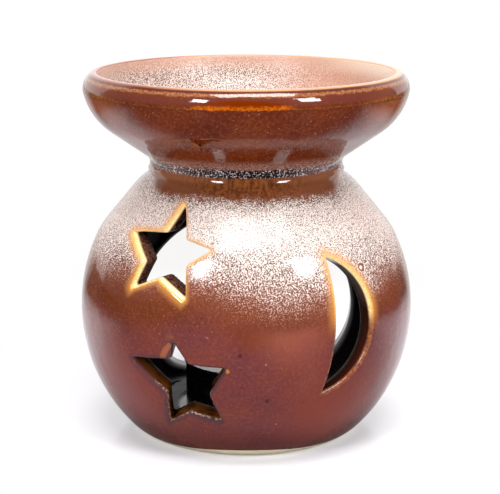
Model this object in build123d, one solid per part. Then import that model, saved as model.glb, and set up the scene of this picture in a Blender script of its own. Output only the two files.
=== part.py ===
"""Stoneware essential oil burner: a pierced ball with an oil dish on its neck, and its tealight.

Millimetres, +Z up. The origin is the centre of the foot, on the table. The pierced front faces -Y, and
the opening that the tealight goes in by faces +Y.
"""

from build123d import *
import os
from math import cos, pi, radians, sin, sqrt, tan

# Globe: a slip-cast ball, flattened on its foot and open at the neck
GLOBE_RADIUS = 50.0  # outside of the ball
GLOBE_WALL = 5.5
FOOT_RADIUS = 33.5  # ground flat and left unglazed
FOOT_HEIGHT = 1.2  # up to the edge of the glaze
FOOT_FLARE = 0.9  # the foot widens this much over its height
GLAZE_STEP = 0.75  # the glaze stands out this far over the foot
FLOOR_THICKNESS = 5.2
FLOOR_CORNER_RADIUS = 5.0  # soft corner that the slip leaves round the floor
SHOULDER_ELEVATION = 29.5  # the ball turns into a straighter shoulder here, in degrees
SHOULDER_BLEND_RADIUS = 15.0
NECK_RADIUS = 28.8  # outside of the neck, where dish and ball meet
NECK_HOLLOW_RISE = 5.0  # height of the hollow between shoulder and dish
NECK_HOLLOW_REACH = 2.3  # how far the shoulder stands out from the neck below that hollow
NECK_RISE = 3.93  # the dish's seat is this far above where a bare ball would be as wide as the neck
NECK_WALL = 6.3  # heat rises to the dish through the bore inside this

# Cut-outs: azimuth 0 is the front and positive is to its right, and angles are in degrees
STAR_NOTCH_RADIUS = 0.5  # corners between the points, softened by the glaze
UPPER_STAR_AZIMUTH = -31.7
UPPER_STAR_ELEVATION = 29.2
UPPER_STAR_RADIUS = 14.3
UPPER_STAR_KNIFE = (-38.5, 0.0)  # azimuth and elevation of the knife, which was held level here
LOWER_STAR_AZIMUTH = -22.1
LOWER_STAR_ELEVATION = -14.4
LOWER_STAR_RADIUS = 14.8
LOWER_STAR_KNIFE = (-10.5, -23.0)
# Each corner is (turn from its place in a regular star, share of the star's radius), from the top point
# round to the left. The stars are cut by hand, so no two corners are alike.
UPPER_STAR_POINT_SHARES = ((-1.4, 1.03), (-1.7, 1.03), (-1.7, 0.94), (1.9, 1.03), (-6.0, 0.93))
UPPER_STAR_NOTCH_SHARES = ((-13.7, 0.41), (12.0, 0.47), (4.7, 0.49), (-0.9, 0.54), (-13.4, 0.44))
LOWER_STAR_POINT_SHARES = ((7.1, 0.89), (-3.0, 1.12), (13.0, 1.02), (5.9, 1.02), (7.3, 0.98))
LOWER_STAR_NOTCH_SHARES = ((-21.6, 0.58), (13.4, 0.35), (10.1, 0.58), (4.1, 0.55), (15.0, 0.51))
MOON_AZIMUTH = 33.7
MOON_ELEVATION = 3.6
MOON_TOP = (-2.4, 20.4)  # tips, across and up from the middle of the cut
MOON_BOTTOM = (-5.6, -17.2)
MOON_INNER_X = -2.6  # edge nearest the front, at the height of the widest place
MOON_OUTER_X = 10.0  # edge furthest from the front
MOON_WIDEST_Z = 1.5

# Opening at the back for the tealight: an oval with a level sill
OPENING_WIDTH_SHARE = 0.68  # of the ball's width
OPENING_HEIGHT_SHARE = 0.56  # of the ball's height, were its foot not flat
OPENING_DROP_SHARE = 0.155  # the oval's middle lies below the ball's by this share of its radius
SILL_ABOVE_FLOOR = 1.0
OPENING_EDGE = 0.8  # the clay's outer edge is sponged off this far

# Oil dish: cast by itself and luted to the neck before firing
DISH_RIDGE_RADIUS = 48.1  # widest line, where the two halves of its mould met
DISH_RIDGE_RISE = 20.7  # above the seat
DISH_LIP_INSET = 2.9  # the lip lies this far inside the ridge
DISH_LIP_RISE = 5.25  # above the ridge
DISH_RIM_BULGE = 0.8  # the rim is this full between ridge and lip
DISH_LIP_WIDTH = 1.6
DISH_LIP_EASE = 0.5
DISH_HOLLOW_REACH = 1.6  # the small hollow above the neck widens the dish by this
DISH_HOLLOW_RISE = 2.0
DISH_FLARE_ANGLE = 35.2  # slope of the straight lower flare, in degrees from level
DISH_SWELL_REACH = 7.4  # from the end of that flare out to the ridge
BOWL_SIDE_LEAN = 1.8  # the steep side runs in this far before it would meet the slope to the floor
BOWL_SIDE_DROP = 8.5  # and down this far below the lip
BOWL_SIDE_ROUNDED = 0.95  # share of the side that its curve takes
BOWL_FLOOR_SHARE = 0.49  # where that slope would meet the floor, as a share of the side's radius
BOWL_FLOOR_ROUNDED = 0.2  # share of the floor that its curve takes
BOWL_FLOOR_THICKNESS = 5.5
SPIGOT_DEPTH = 2.0  # the underside sits this far down in the bore
SPIGOT_CLEARANCE = 0.3

# Tealight, and the shallow well in the floor that keeps it in the middle
CUP_RADIUS = 19.0  # outside of the rolled rim
CUP_HEIGHT = 15.5
CUP_SHEET = 0.4
CUP_RIM_ROLL = 1.0  # thickness of the rolled rim
CUP_BASE_EDGE = 1.0  # rounding under the cup
FLUTE_COUNT = 48
FLUTE_DEPTH = 0.4
WELL_CLEARANCE = 1.8
WELL_DEPTH = 1.0
WELL_EASE = 0.5
WAX_BELOW_RIM = 2.0
WICK_RADIUS = 0.9
WICK_ABOVE_WAX = 8.0
SUSTAINER_RADIUS = 6.5
SUSTAINER_SHEET = 0.3
CRIMP_RADIUS = 1.5
CRIMP_HEIGHT = 4.0

OVERRUN = 2.0  # cutters run this far past what they cut

# Places that follow from the sizes above
GLAZE_FOOT_RADIUS = FOOT_RADIUS + FOOT_FLARE + GLAZE_STEP
GLOBE_CENTRE_Z = FOOT_HEIGHT + sqrt(GLOBE_RADIUS**2 - GLAZE_FOOT_RADIUS**2)
GLOBE_CENTRE = Vector(0, 0, GLOBE_CENTRE_Z)
INNER_RADIUS = GLOBE_RADIUS - GLOBE_WALL
SEAT_Z = GLOBE_CENTRE_Z + sqrt(GLOBE_RADIUS**2 - NECK_RADIUS**2) + NECK_RISE
NECK_BORE_RADIUS = NECK_RADIUS - NECK_WALL
FLOOR_Z = FLOOR_THICKNESS
WELL_FLOOR_Z = FLOOR_Z - WELL_DEPTH
RIDGE_Z = SEAT_Z + DISH_RIDGE_RISE
LIP_Z = RIDGE_Z + DISH_LIP_RISE
CUP_BODY_RADIUS = CUP_RADIUS - CUP_RIM_ROLL / 2
WAX_RADIUS = CUP_BODY_RADIUS - FLUTE_DEPTH - CUP_SHEET
WAX_TOP = CUP_HEIGHT - WAX_BELOW_RIM


def revolved(profile):
    """Solid of revolution about the upright axis, from a closed profile drawn as (radius, height)."""
    return revolve(Plane.XZ * make_face(profile), Axis.Z)


def corner_at(face, place):
    """Corner of a flat outline that lies at a place."""
    return face.vertices().sort_by_distance(Vector(*place))[0]


def rounded_corner(face, before, corner, after, reach):
    """Rounds one corner of a flat outline, so that its curve starts and ends this far from it."""
    turn = (Vector(*corner) - Vector(*before)).get_angle(Vector(*after) - Vector(*corner))
    return fillet(corner_at(face, corner), reach / tan(radians(turn) / 2))


def globe_body():
    """Outer form of the ball: foot, ball, shoulder, hollow neck and the level seat of the dish."""
    under_glaze = (FOOT_RADIUS + FOOT_FLARE, FOOT_HEIGHT)
    glaze_edge = (GLAZE_FOOT_RADIUS, FOOT_HEIGHT)
    hollow = (NECK_RADIUS + NECK_HOLLOW_REACH, SEAT_Z - NECK_HOLLOW_RISE)
    elevation = radians(SHOULDER_ELEVATION)
    shoulder = (GLOBE_RADIUS * cos(elevation), GLOBE_CENTRE_Z + GLOBE_RADIUS * sin(elevation))
    neck = (NECK_RADIUS, SEAT_Z)
    base = Polyline((0, 0), (FOOT_RADIUS, 0), under_glaze, glaze_edge)
    ball = ThreePointArc(glaze_edge, (GLOBE_RADIUS, GLOBE_CENTRE_Z), shoulder)
    slope = Line(shoulder, hollow)
    hollow_arc = TangentArc(hollow, neck, tangent=slope % 1)
    top = Polyline(neck, (0, SEAT_Z), (0, 0))
    outline = make_face(base + ball + slope + hollow_arc + top)
    return revolve(Plane.XZ * fillet(corner_at(outline, shoulder), SHOULDER_BLEND_RADIUS), Axis.Z)


def globe_hollow():
    """Space inside the ball, with its level floor, the tealight's well and the bore of the neck."""
    floor_edge = (sqrt(INNER_RADIUS**2 - (GLOBE_CENTRE_Z - FLOOR_Z) ** 2), FLOOR_Z)
    bore_foot = (NECK_BORE_RADIUS, GLOBE_CENTRE_Z + sqrt(INNER_RADIUS**2 - NECK_BORE_RADIUS**2))
    floor = Line((0, FLOOR_Z), floor_edge)
    ball = ThreePointArc(floor_edge, (INNER_RADIUS, GLOBE_CENTRE_Z), bore_foot)
    top = SEAT_Z + OVERRUN
    bore = Polyline(bore_foot, (NECK_BORE_RADIUS, top), (0, top), (0, FLOOR_Z))
    outline = make_face(floor + ball + bore)
    soft = fillet(corner_at(outline, floor_edge), FLOOR_CORNER_RADIUS)
    return revolve(Plane.XZ * soft, Axis.Z)


def tealight_well():
    """Round well in the floor, with its edge eased so that a cup slides in and out."""
    radius = CUP_RADIUS + WELL_CLEARANCE
    top = FLOOR_Z + OVERRUN
    eased = (radius + WELL_EASE, FLOOR_Z)
    wall = Polyline((0, WELL_FLOOR_Z), (radius, WELL_FLOOR_Z), (radius, FLOOR_Z - WELL_EASE), eased)
    above = Polyline(eased, (radius + WELL_EASE, top), (0, top), (0, WELL_FLOOR_Z))
    return revolved(wall + above)


def outward(azimuth, elevation):
    """Direction that points away from the middle of the ball."""
    a = radians(azimuth)
    e = radians(elevation)
    return Vector(sin(a) * cos(e), -cos(a) * cos(e), sin(e))


def wall_plane(azimuth, elevation):
    """Plane across the wall, just outside the ball, with X level and Y upwards."""
    square = outward(azimuth, elevation)
    level = Vector(0, 0, 1).cross(square)
    return Plane(GLOBE_CENTRE + square * (GLOBE_RADIUS + OVERRUN), x_dir=level, z_dir=square)


def depth_of_cut(reach):
    """Depth, from the start plane, that clears the wall this far from the middle of a cut."""
    return GLOBE_RADIUS - sqrt(INNER_RADIUS**2 - reach**2) + 2 * OVERRUN


def star_cutter(azimuth, elevation, radius, knife, point_shares, notch_shares):
    """Five-pointed star with sharp points and softened notches, cut by a knife that leans to the wall.

    The corners lie on the ball, so each is carried back along the knife to the plane where the cut starts.
    """
    plane = wall_plane(azimuth, elevation)
    inward = outward(*knife) * -1
    sinks = -inward.dot(plane.z_dir)
    drift_x = inward.dot(plane.x_dir) / sinks
    drift_y = inward.dot(plane.y_dir) / sinks
    step = 360 / len(point_shares)
    corners = []
    for index, pair in enumerate(zip(point_shares, notch_shares)):
        for half, (turn, share) in enumerate(pair):
            angle = radians(90 + step * (index + half / 2) + turn)
            reach = radius * share
            depth = OVERRUN + GLOBE_RADIUS - sqrt(GLOBE_RADIUS**2 - reach**2)
            corners.append((reach * cos(angle) - depth * drift_x, reach * sin(angle) - depth * drift_y))
    star = make_face(Polyline(*corners, close=True))
    notches = [corner_at(star, corner) for corner in corners[1::2]]
    face = plane * fillet(notches, STAR_NOTCH_RADIUS)
    inner_reach = radius + 2 * GLOBE_WALL * sqrt(drift_x**2 + drift_y**2)
    return extrude(face, amount=depth_of_cut(inner_reach) / sinks, dir=inward)


def moon_cutter():
    """Crescent between two arcs that share their tips, cut square to the wall."""
    outer = ThreePointArc(MOON_TOP, (MOON_OUTER_X, MOON_WIDEST_Z), MOON_BOTTOM)
    inner = ThreePointArc(MOON_BOTTOM, (MOON_INNER_X, MOON_WIDEST_Z), MOON_TOP)
    face = wall_plane(MOON_AZIMUTH, MOON_ELEVATION) * make_face(outer + inner)
    return extrude(face, amount=-depth_of_cut(MOON_TOP[1]))


def tealight_opening():
    """Cutter for the oval at the back, level along its sill."""
    half_width = GLOBE_RADIUS * OPENING_WIDTH_SHARE
    half_height = GLOBE_RADIUS * OPENING_HEIGHT_SHARE
    middle_z = GLOBE_CENTRE_Z - GLOBE_RADIUS * OPENING_DROP_SHARE
    oval = Pos(0, middle_z) * Ellipse(half_width, half_height)
    sill = Pos(0, FLOOR_Z + SILL_ABOVE_FLOOR) * Rectangle(
        2 * half_width, 2 * half_height, align=(Align.CENTER, Align.MIN)
    )
    return extrude(Plane.XZ * (oval & sill), amount=-(GLOBE_RADIUS + OVERRUN))


def cut_and_ease(shell, cutter, ease):
    """Cuts an opening through the wall and takes the sharpness off its outer edge."""
    cut = shell - cutter
    mid_wall = GLOBE_RADIUS - GLOBE_WALL / 2
    edges = new_edges(shell, cutter, combined=cut)
    outer = [edge for edge in edges if (edge @ 0.5 - GLOBE_CENTRE).length > mid_wall]
    return chamfer(outer, ease)


def burner_globe():
    """The pierced ball."""
    shell = globe_body() - globe_hollow() - tealight_well()
    shell = cut_and_ease(shell, tealight_opening(), OPENING_EDGE)
    shell -= star_cutter(
        UPPER_STAR_AZIMUTH,
        UPPER_STAR_ELEVATION,
        UPPER_STAR_RADIUS,
        UPPER_STAR_KNIFE,
        UPPER_STAR_POINT_SHARES,
        UPPER_STAR_NOTCH_SHARES,
    )
    shell -= star_cutter(
        LOWER_STAR_AZIMUTH,
        LOWER_STAR_ELEVATION,
        LOWER_STAR_RADIUS,
        LOWER_STAR_KNIFE,
        LOWER_STAR_POINT_SHARES,
        LOWER_STAR_NOTCH_SHARES,
    )
    return shell - moon_cutter()


def oil_dish():
    """Flared dish with a full rim, whose underside sits in the bore of the neck."""
    spigot_radius = NECK_BORE_RADIUS - SPIGOT_CLEARANCE
    spigot_z = SEAT_Z - SPIGOT_DEPTH
    neck = (NECK_RADIUS, SEAT_Z)
    flare = (NECK_RADIUS + DISH_HOLLOW_REACH, SEAT_Z + DISH_HOLLOW_RISE)
    slope = tan(radians(DISH_FLARE_ANGLE))
    flare_end_radius = DISH_RIDGE_RADIUS - DISH_SWELL_REACH
    flare_end = (flare_end_radius, flare[1] + slope * (flare_end_radius - flare[0]))
    ridge = (DISH_RIDGE_RADIUS, RIDGE_Z)
    lip = (DISH_RIDGE_RADIUS - DISH_LIP_INSET, LIP_Z)
    middle = Vector(ridge[0] + lip[0], ridge[1] + lip[1]) / 2
    out = Vector(DISH_LIP_RISE, DISH_LIP_INSET).normalized()
    bulge = middle + out * DISH_RIM_BULGE
    mouth = (lip[0] - DISH_LIP_WIDTH, LIP_Z)
    side = (mouth[0] - BOWL_SIDE_LEAN, LIP_Z - BOWL_SIDE_DROP)
    floor_middle = (0, spigot_z + BOWL_FLOOR_THICKNESS)
    floor_edge = (side[0] * BOWL_FLOOR_SHARE, floor_middle[1])
    underside = Polyline((0, spigot_z), (spigot_radius, spigot_z), (spigot_radius, SEAT_Z), neck)
    straight = Line(flare, flare_end)
    hollow = TangentArc(flare, neck, tangent=(straight % 0) * -1)
    swell = TangentArc(flare_end, ridge, tangent=straight % 1)
    rim = ThreePointArc(ridge, bulge, lip)
    bowl = Polyline(lip, mouth, side, floor_edge, floor_middle, (0, spigot_z))
    outline = make_face(underside + hollow + straight + swell + rim + bowl)
    side_length = (Vector(*mouth) - Vector(*side)).length
    outline = rounded_corner(outline, mouth, side, floor_edge, side_length * BOWL_SIDE_ROUNDED)
    outline = rounded_corner(outline, side, floor_edge, floor_middle, floor_edge[0] * BOWL_FLOOR_ROUNDED)
    crest_corners = [corner_at(outline, lip), corner_at(outline, mouth)]
    return revolve(Plane.XZ * chamfer(crest_corners, DISH_LIP_EASE), Axis.Z)


def at_well(piece):
    """Stands a piece of the tealight, drawn from its own base, in the well."""
    return Pos(0, 0, WELL_FLOOR_Z) * piece


def fluted_outline(outer_radius):
    """Wavy circle, from one flute's crest to the next hollow and on."""
    corners = []
    for index in range(2 * FLUTE_COUNT):
        angle = pi * index / FLUTE_COUNT
        radius = outer_radius - FLUTE_DEPTH * (index % 2)
        corners.append((radius * cos(angle), radius * sin(angle)))
    return make_face(Polyline(*corners, close=True))


def tealight_cup():
    """Pressed aluminium cup with a fluted wall and a rolled rim."""
    base_radius = CUP_BODY_RADIUS - FLUTE_DEPTH
    half_roll = CUP_RIM_ROLL / 2
    base = Cylinder(base_radius, CUP_BASE_EDGE, align=(Align.CENTER, Align.CENTER, Align.MIN))
    base = chamfer(base.edges().group_by(Axis.Z)[0], CUP_BASE_EDGE / 2)
    wall_height = CUP_HEIGHT - CUP_RIM_ROLL - CUP_BASE_EDGE
    wall = Pos(0, 0, CUP_BASE_EDGE) * extrude(fluted_outline(CUP_BODY_RADIUS), amount=wall_height)
    inner_outline = fluted_outline(CUP_BODY_RADIUS - CUP_SHEET)
    inside = Pos(0, 0, CUP_BASE_EDGE) * extrude(inner_outline, amount=wall_height)
    inside += Pos(0, 0, CUP_SHEET) * Cylinder(
        WAX_RADIUS, CUP_HEIGHT, align=(Align.CENTER, Align.CENTER, Align.MIN)
    )
    top = CUP_HEIGHT - half_roll
    # The roll is eight-sided, as wide as it is high, and closed against the wall
    eighth = half_roll * (sqrt(2) - 1)
    roll = Polyline(
        (WAX_RADIUS, top - half_roll),
        (CUP_BODY_RADIUS + eighth, top - half_roll),
        (CUP_RADIUS, top - eighth),
        (CUP_RADIUS, top + eighth),
        (CUP_BODY_RADIUS + eighth, CUP_HEIGHT),
        (CUP_BODY_RADIUS - eighth, CUP_HEIGHT),
        (WAX_RADIUS, top + eighth),
        close=True,
    )
    return at_well(base + wall - inside + revolved(roll))


def sustainer_form():
    """Stamped disc with the crimped tube that holds the wick up, standing on the cup's floor."""
    disc = Cylinder(SUSTAINER_RADIUS, SUSTAINER_SHEET, align=(Align.CENTER, Align.CENTER, Align.MIN))
    crimp = Cylinder(CRIMP_RADIUS, CRIMP_HEIGHT, align=(Align.CENTER, Align.CENTER, Align.MIN))
    return Pos(0, 0, CUP_SHEET) * (disc + crimp)


def wick_form():
    """Braided wick, from the foot of its crimp to above the wax."""
    foot = CUP_SHEET + SUSTAINER_SHEET
    length = WAX_TOP + WICK_ABOVE_WAX - foot
    return Pos(0, 0, foot) * Cylinder(WICK_RADIUS, length, align=(Align.CENTER, Align.CENTER, Align.MIN))


def wick_sustainer():
    return at_well(sustainer_form() - wick_form())


def wick():
    return at_well(wick_form())


def tealight_wax():
    """Poured wax, set round the wick and its sustainer."""
    block = Pos(0, 0, CUP_SHEET) * Cylinder(
        WAX_RADIUS, WAX_TOP - CUP_SHEET, align=(Align.CENTER, Align.CENTER, Align.MIN)
    )
    return at_well(block - sustainer_form() - wick_form())


PIECES = (burner_globe, oil_dish, tealight_cup, tealight_wax, wick, wick_sustainer)

os.makedirs("parts", exist_ok=True)
for make in PIECES:
    piece = make()
    piece.label = make.__name__
    export_step(piece, f"parts/{make.__name__}.step")
    print(make.__name__, f"{piece.volume / 1000:.2f} cm3")
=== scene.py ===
"""Looks of the stoneware oil burner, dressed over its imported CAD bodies.

Lengths are in millimetres. The sizes and places of the table, the lamps and the camera are in metres.
"""

from math import cos, pi, radians, sin

import bmesh
import bpy
import numpy as np
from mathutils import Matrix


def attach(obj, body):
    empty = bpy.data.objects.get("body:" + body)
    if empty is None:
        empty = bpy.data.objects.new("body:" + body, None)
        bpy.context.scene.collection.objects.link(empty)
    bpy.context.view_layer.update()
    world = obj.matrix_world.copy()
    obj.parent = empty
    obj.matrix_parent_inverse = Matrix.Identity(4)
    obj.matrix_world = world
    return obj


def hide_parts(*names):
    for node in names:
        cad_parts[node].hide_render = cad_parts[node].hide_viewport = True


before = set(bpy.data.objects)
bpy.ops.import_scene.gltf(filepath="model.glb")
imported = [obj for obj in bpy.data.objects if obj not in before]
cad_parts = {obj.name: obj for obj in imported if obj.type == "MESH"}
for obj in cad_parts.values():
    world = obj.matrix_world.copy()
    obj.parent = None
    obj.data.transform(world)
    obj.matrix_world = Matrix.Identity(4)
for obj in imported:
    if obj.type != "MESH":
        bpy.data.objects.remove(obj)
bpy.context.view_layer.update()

# The globe: a ball of red-brown stoneware, slip-cast in a two-part mould, with two stars and a crescent
# cut through its front by hand and a large oval opening at the back. It is dipped in glossy iron glaze,
# which has drawn back from every cut edge and shows amber there, and stands on a bare ground foot.
MM = 0.001
BALL_RADIUS = 50.0
BALL_INSIDE = 44.5
BALL_CENTRE = 36.76
FOOT_RADIUS = 33.5
FOOT_HEIGHT = 1.2
FOOT_FLARE = 0.9
FOOT_CORNER = 0.2
GLAZE_ROLL = 0.4  # the glaze ends above the foot in a roll of this radius
FLOOR = 5.2
FLOOR_CORNER = 1.6
WELL_FLOOR = 4.2
WELL_RADIUS = 20.8
WELL_CORNER, WELL_EDGE = 0.6, 0.5
SHOULDER = (43.52, 61.38)  # where the ball turns into the straighter shoulder, as (radius, height)
SHOULDER_BLEND = 0.4
HOLLOW = (29.43, 78.6)  # foot of the hollow under the dish
NECK = (28.8, 81.56)
BORE_RADIUS = 22.5
BORE_EDGE, NECK_EDGE = 1.5, 0.5
GLAZE_ROUNDING = 1.35  # the glaze rounds the outer edge of each cut this much
INNER_ROUNDING = 0.6
ROUNDING_DEPTHS = (1.6, 3.6)  # depths in the wall between which one rounding turns into the other


def round_max(a, b, radius):
    """Distance field of what two solids share, with a rounded edge where their skins meet."""
    corner = np.hypot(np.maximum(a + radius, 0), np.maximum(b + radius, 0))
    return np.minimum(np.maximum(a, b), -radius) + corner


def soft_max(a, b, softness):
    """Distance field of what two solids share, softened where their skins meet at a shallow angle."""
    return np.maximum(a, b) + np.maximum(softness - np.abs(a - b), 0) ** 2 / (4 * softness)


def outer_skin(r, z):
    """How far points lie outside the globe's outer form, the foot included."""
    slope = np.subtract(HOLLOW, SHOULDER) / np.hypot(*np.subtract(HOLLOW, SHOULDER))
    out = np.array((slope[1], -slope[0]))
    rise = np.subtract(NECK, HOLLOW)
    hollow_radius = rise @ rise / (2 * rise @ out)
    hollow_centre = HOLLOW + hollow_radius * out
    ball = np.hypot(r, z - BALL_CENTRE) - BALL_RADIUS
    cone = (r - HOLLOW[0]) * out[0] + (z - HOLLOW[1]) * out[1]
    hollow = hollow_radius - np.hypot(r - hollow_centre[0], z - hollow_centre[1])
    in_hollow = (r - HOLLOW[0]) * slope[0] + (z - HOLLOW[1]) * slope[1] > 0
    body = np.where(in_hollow, hollow, soft_max(ball, cone, SHOULDER_BLEND))
    glazed = round_max(np.maximum(body, z - NECK[1]), FOOT_HEIGHT - z, GLAZE_ROLL)
    foot = round_max(r - FOOT_RADIUS - FOOT_FLARE * z / FOOT_HEIGHT, -z, FOOT_CORNER)
    return np.minimum(glazed, np.maximum(foot, z - 2 * FOOT_HEIGHT))


def hollow_inside(r, z):
    """How far points lie outside the chamber, its bore and the tealight's well."""
    chamber = soft_max(np.hypot(r, z - BALL_CENTRE) - BALL_INSIDE, FLOOR - z, FLOOR_CORNER)
    bore = np.maximum(r - BORE_RADIUS, BALL_CENTRE - z)
    well = np.maximum(round_max(r - WELL_RADIUS, WELL_FLOOR - z, WELL_CORNER), z - FLOOR - 2)
    return -round_max(-well, round_max(-chamber, -bore, BORE_EDGE), WELL_EDGE)


# Cut-outs, placed by azimuth, which is 0 in front and positive to the right, and by elevation. A star
# also has its radius and the direction that the leaning knife came from. Its corners are (turn, share of
# its radius), point and notch by turns from the top to the left. The crescent was cut square to the wall,
# and its outer and inner arcs run from its top to its bottom through one point each, as (across, up).
UPPER_STAR = (-31.7, 29.2, 14.3)
UPPER_KNIFE = (-38.5, 0.0)
UPPER_POINTS = ((-1.4, 1.03), (-1.7, 1.03), (-1.7, 0.94), (1.9, 1.03), (-6.0, 0.93))
UPPER_NOTCHES = ((-13.7, 0.41), (12.0, 0.47), (4.7, 0.49), (-0.9, 0.54), (-13.4, 0.44))
LOWER_STAR = (-22.1, -14.4, 14.8)
LOWER_KNIFE = (-10.5, -23.0)
LOWER_POINTS = ((7.1, 0.89), (-3.0, 1.12), (13.0, 1.02), (5.9, 1.02), (7.3, 0.98))
LOWER_NOTCHES = ((-21.6, 0.58), (13.4, 0.35), (10.1, 0.58), (4.1, 0.55), (15.0, 0.51))
MOON = (33.7, 3.6)
MOON_TOP, MOON_BOTTOM = (-2.4, 20.4), (-5.6, -17.2)
MOON_OUTER, MOON_INNER = (10.0, 1.5), (-2.6, 1.5)
MOON_CORNER = 0.25
FRONT_CUTS_FROM = 15.0  # the cuts in front start this far out from the ball's middle
OPENING_HALF = (34.0, 28.0)
OPENING_CENTRE = 29.0
OPENING_FROM = 10.0
SILL = 6.2
SILL_CORNER = 3.0
TEMPLATE_REACH = 21.0  # a star's outline is kept on a square this far each way
TEMPLATE_STEP = 0.14
KNIFE_SOFTNESS = 2.2  # steps of the template that corners are softened over, out to the reach below
SOFTENING_REACH = 8


def cut_axes(azimuth, elevation):
    """Across, up and outward directions of a cut."""
    a, e = radians(azimuth), radians(elevation)
    out = np.array((sin(a) * cos(e), -cos(a) * cos(e), sin(e)))
    across = np.cross((0, 0, 1), out)
    across /= np.linalg.norm(across)
    return across, np.cross(out, across), out


def star_template(radius, points, notches):
    """Distance from a hand-cut star's outline, negative inside it, on a square of samples."""
    corners = []
    for index in range(5):
        for half, (turn, share) in enumerate((points[index], notches[index])):
            angle = radians(90 + 72 * (index + half / 2) + turn)
            corners.append((radius * share * cos(angle), radius * share * sin(angle)))
    line = np.arange(-TEMPLATE_REACH, TEMPLATE_REACH, TEMPLATE_STEP)
    p = np.stack(np.meshgrid(line, line, indexing="ij"), -1)
    nearest = np.full(p.shape[:2], 1e9)
    inside = np.zeros(p.shape[:2], bool)
    for a, b in zip(np.array(corners), np.roll(corners, -1, axis=0)):
        along = np.clip(((p - a) @ (b - a)) / ((b - a) @ (b - a)), 0, 1)
        nearest = np.minimum(nearest, np.linalg.norm(p - a - along[..., None] * (b - a), axis=-1))
        straddles = (a[1] > p[..., 1]) != (b[1] > p[..., 1])
        crossing = a[0] + (b[0] - a[0]) * (p[..., 1] - a[1]) / (b[1] - a[1])
        inside ^= straddles & (p[..., 0] < crossing)
    field = np.where(inside, -nearest, nearest)
    reach = np.arange(-SOFTENING_REACH, SOFTENING_REACH + 1)
    kernel = np.exp(-0.5 * (reach / KNIFE_SOFTNESS) ** 2)
    kernel /= kernel.sum()
    for axis in (0, 1):
        padding = [(SOFTENING_REACH, SOFTENING_REACH) if axis == n else (0, 0) for n in (0, 1)]
        padded = np.pad(field, padding, "edge")
        field = sum(
            share * np.take(padded, np.arange(len(line)) + SOFTENING_REACH + step, axis)
            for share, step in zip(kernel, reach)
        )
    return field


def on_template(field, across, up):
    """Reads a star's template between its samples."""
    x = np.clip((across + TEMPLATE_REACH) / TEMPLATE_STEP, 0, len(field) - 1.001)
    y = np.clip((up + TEMPLATE_REACH) / TEMPLATE_STEP, 0, len(field) - 1.001)
    i, j = x.astype(int), y.astype(int)
    u, v = x - i, y - j
    low = field[i, j] * (1 - u) + field[i + 1, j] * u
    high = field[i, j + 1] * (1 - u) + field[i + 1, j + 1] * u
    return low * (1 - v) + high * v


def disc_through(a, b, c, across, up):
    """How far points lie outside the circle through three points."""
    a, b, c = np.array(a), np.array(b), np.array(c)
    centre = np.linalg.solve(2 * np.array((b - a, c - a)), np.array((b @ b - a @ a, c @ c - a @ a)))
    return np.hypot(across - centre[0], up - centre[1]) - np.linalg.norm(a - centre)


upper_template = star_template(UPPER_STAR[2], UPPER_POINTS, UPPER_NOTCHES)
lower_template = star_template(LOWER_STAR[2], LOWER_POINTS, LOWER_NOTCHES)


def cuts(p):
    """How far points lie outside the nearest cut-out, in its own plane."""
    middle = np.array((0, 0, BALL_CENTRE))
    nearest = np.full(p.shape[:-1], 1e3)
    for star, knife, template in (
        (UPPER_STAR, UPPER_KNIFE, upper_template), (LOWER_STAR, LOWER_KNIFE, lower_template),
    ):
        across, up, out = cut_axes(*star[:2])
        inward = -cut_axes(*knife)[2]
        q = p - middle
        sunk = (BALL_RADIUS - np.linalg.norm(q, axis=-1)) / -(inward @ out)
        x, y = q @ across - sunk * (inward @ across), q @ up - sunk * (inward @ up)
        nearest = np.minimum(nearest, np.maximum(on_template(template, x, y), FRONT_CUTS_FROM - q @ out))
    across, up, out = cut_axes(*MOON)
    q = p - middle
    x, y = q @ across, q @ up
    outer = disc_through(MOON_TOP, MOON_OUTER, MOON_BOTTOM, x, y)
    inner = disc_through(MOON_TOP, MOON_INNER, MOON_BOTTOM, x, y)
    moon = np.maximum(round_max(outer, -inner, MOON_CORNER), FRONT_CUTS_FROM - q @ out)
    x, z = p[..., 0] / OPENING_HALF[0], (p[..., 2] - OPENING_CENTRE) / OPENING_HALF[1]
    share = np.hypot(x, z) + 1e-6
    oval = share * (share - 1) / (np.hypot(x / OPENING_HALF[0], z / OPENING_HALF[1]) + 1e-6)
    opening = np.maximum(round_max(oval, SILL - p[..., 2], SILL_CORNER), OPENING_FROM - p[..., 1])
    return np.minimum(np.minimum(nearest, moon), opening)


def globe_field(p):
    """How far points lie outside the finished globe."""
    r, z = np.hypot(p[..., 0], p[..., 1]), p[..., 2]
    skin = outer_skin(r, z)
    wall = round_max(skin, -hollow_inside(r, z), NECK_EDGE)
    rounding = np.interp(-skin, ROUNDING_DEPTHS, (GLAZE_ROUNDING, INNER_ROUNDING))
    return round_max(wall, -cuts(p), rounding)


def slope_of(field, p, step=0.08):
    """Direction in which a field rises fastest, which on a skin is the way out of the clay."""
    axes = np.eye(3) * step
    return np.stack([field(p + axis) - field(p - axis) for axis in axes], -1) / (2 * step)


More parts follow.
